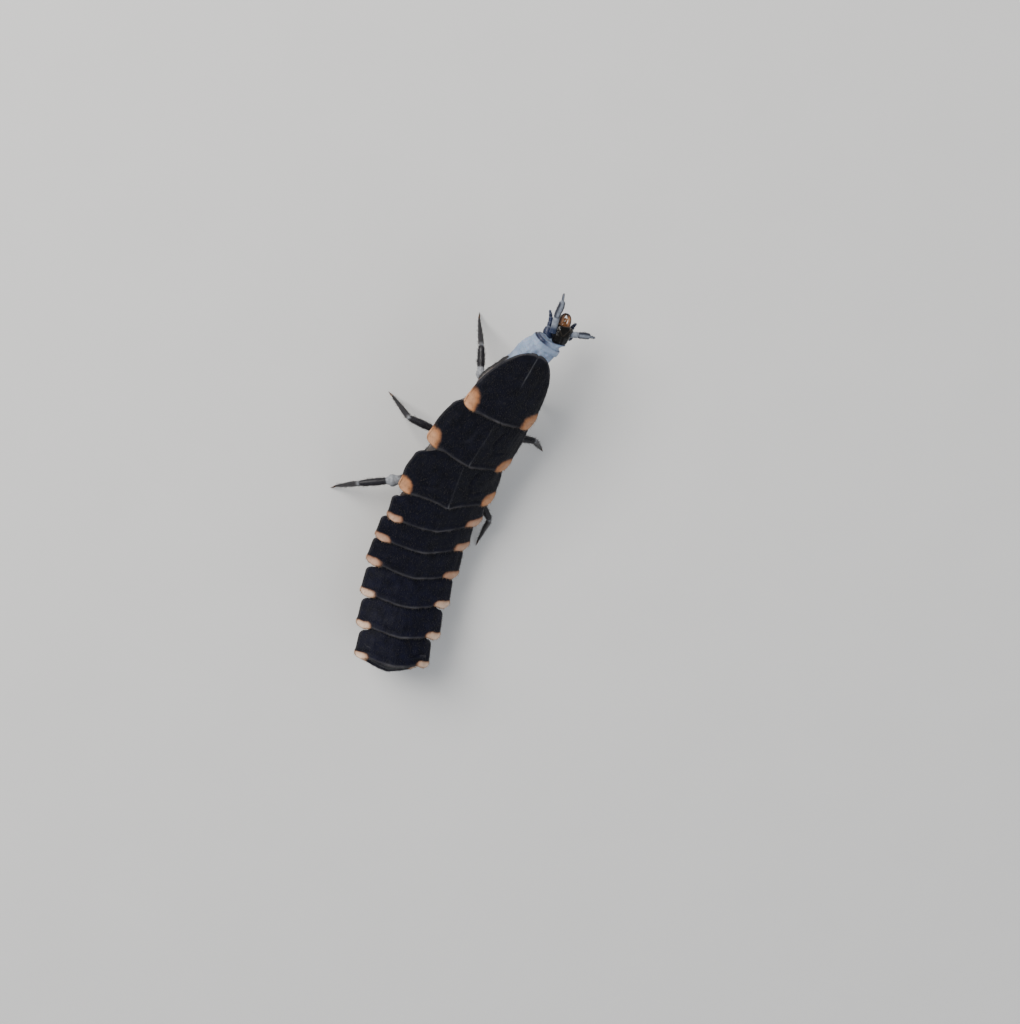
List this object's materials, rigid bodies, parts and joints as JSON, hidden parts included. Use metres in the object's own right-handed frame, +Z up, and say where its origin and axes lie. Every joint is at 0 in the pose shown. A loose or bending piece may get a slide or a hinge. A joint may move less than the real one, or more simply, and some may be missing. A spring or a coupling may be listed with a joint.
{
  "type": "firefly larva",
  "caption": "Life-size still model of a firefly larva, walking on six legs with its tail curled under, dark back plates with pale orange rear corners.",
  "frame": {"origin": "on the floor, under the middle of the whole animal's box", "axes": "+Z up, head toward -Y, the animal's left toward +X"},
  "size_m": [0.0105, 0.0251, 0.0054],
  "materials": {
    "back_plate": "velvety matt near-black, finely granular",
    "neck_skin": "soft satin blue-grey",
    "head_shell": "glossy brown-black",
    "eye": "glossy black",
    "feeler": "satin grey, dark toward the tip",
    "jaw": "glossy orange-brown with dark tips",
    "palp": "satin dark blue-grey",
    "leg": "satin black with pale joints",
    "holdfast": "soft moist cream"
  },
  "bodies": {
    "root": {"prothorax": "back_plate", "mesothorax": "back_plate", "metathorax": "back_plate", "abdomen_1": "back_plate", "abdomen_2": "back_plate", "abdomen_3": "back_plate", "abdomen_4": "back_plate", "abdomen_5": "back_plate", "abdomen_6": "back_plate", "abdomen_7": "back_plate", "abdomen_8": "back_plate", "abdomen_9": "back_plate", "neck": "neck_skin", "head": "head_shell", "eye_left": "eye", "eye_right": "eye", "antenna_left": "feeler", "antenna_right": "feeler", "mandible_left": "jaw", "mandible_right": "jaw", "maxilla_left": "palp", "maxilla_right": "palp", "labium": "palp", "leg_front_left": "leg", "leg_front_right": "leg", "leg_middle_left": "leg", "leg_middle_right": "leg", "leg_hind_left": "leg", "leg_hind_right": "leg", "pygopod": "holdfast"}
  },
  "joints": []
}
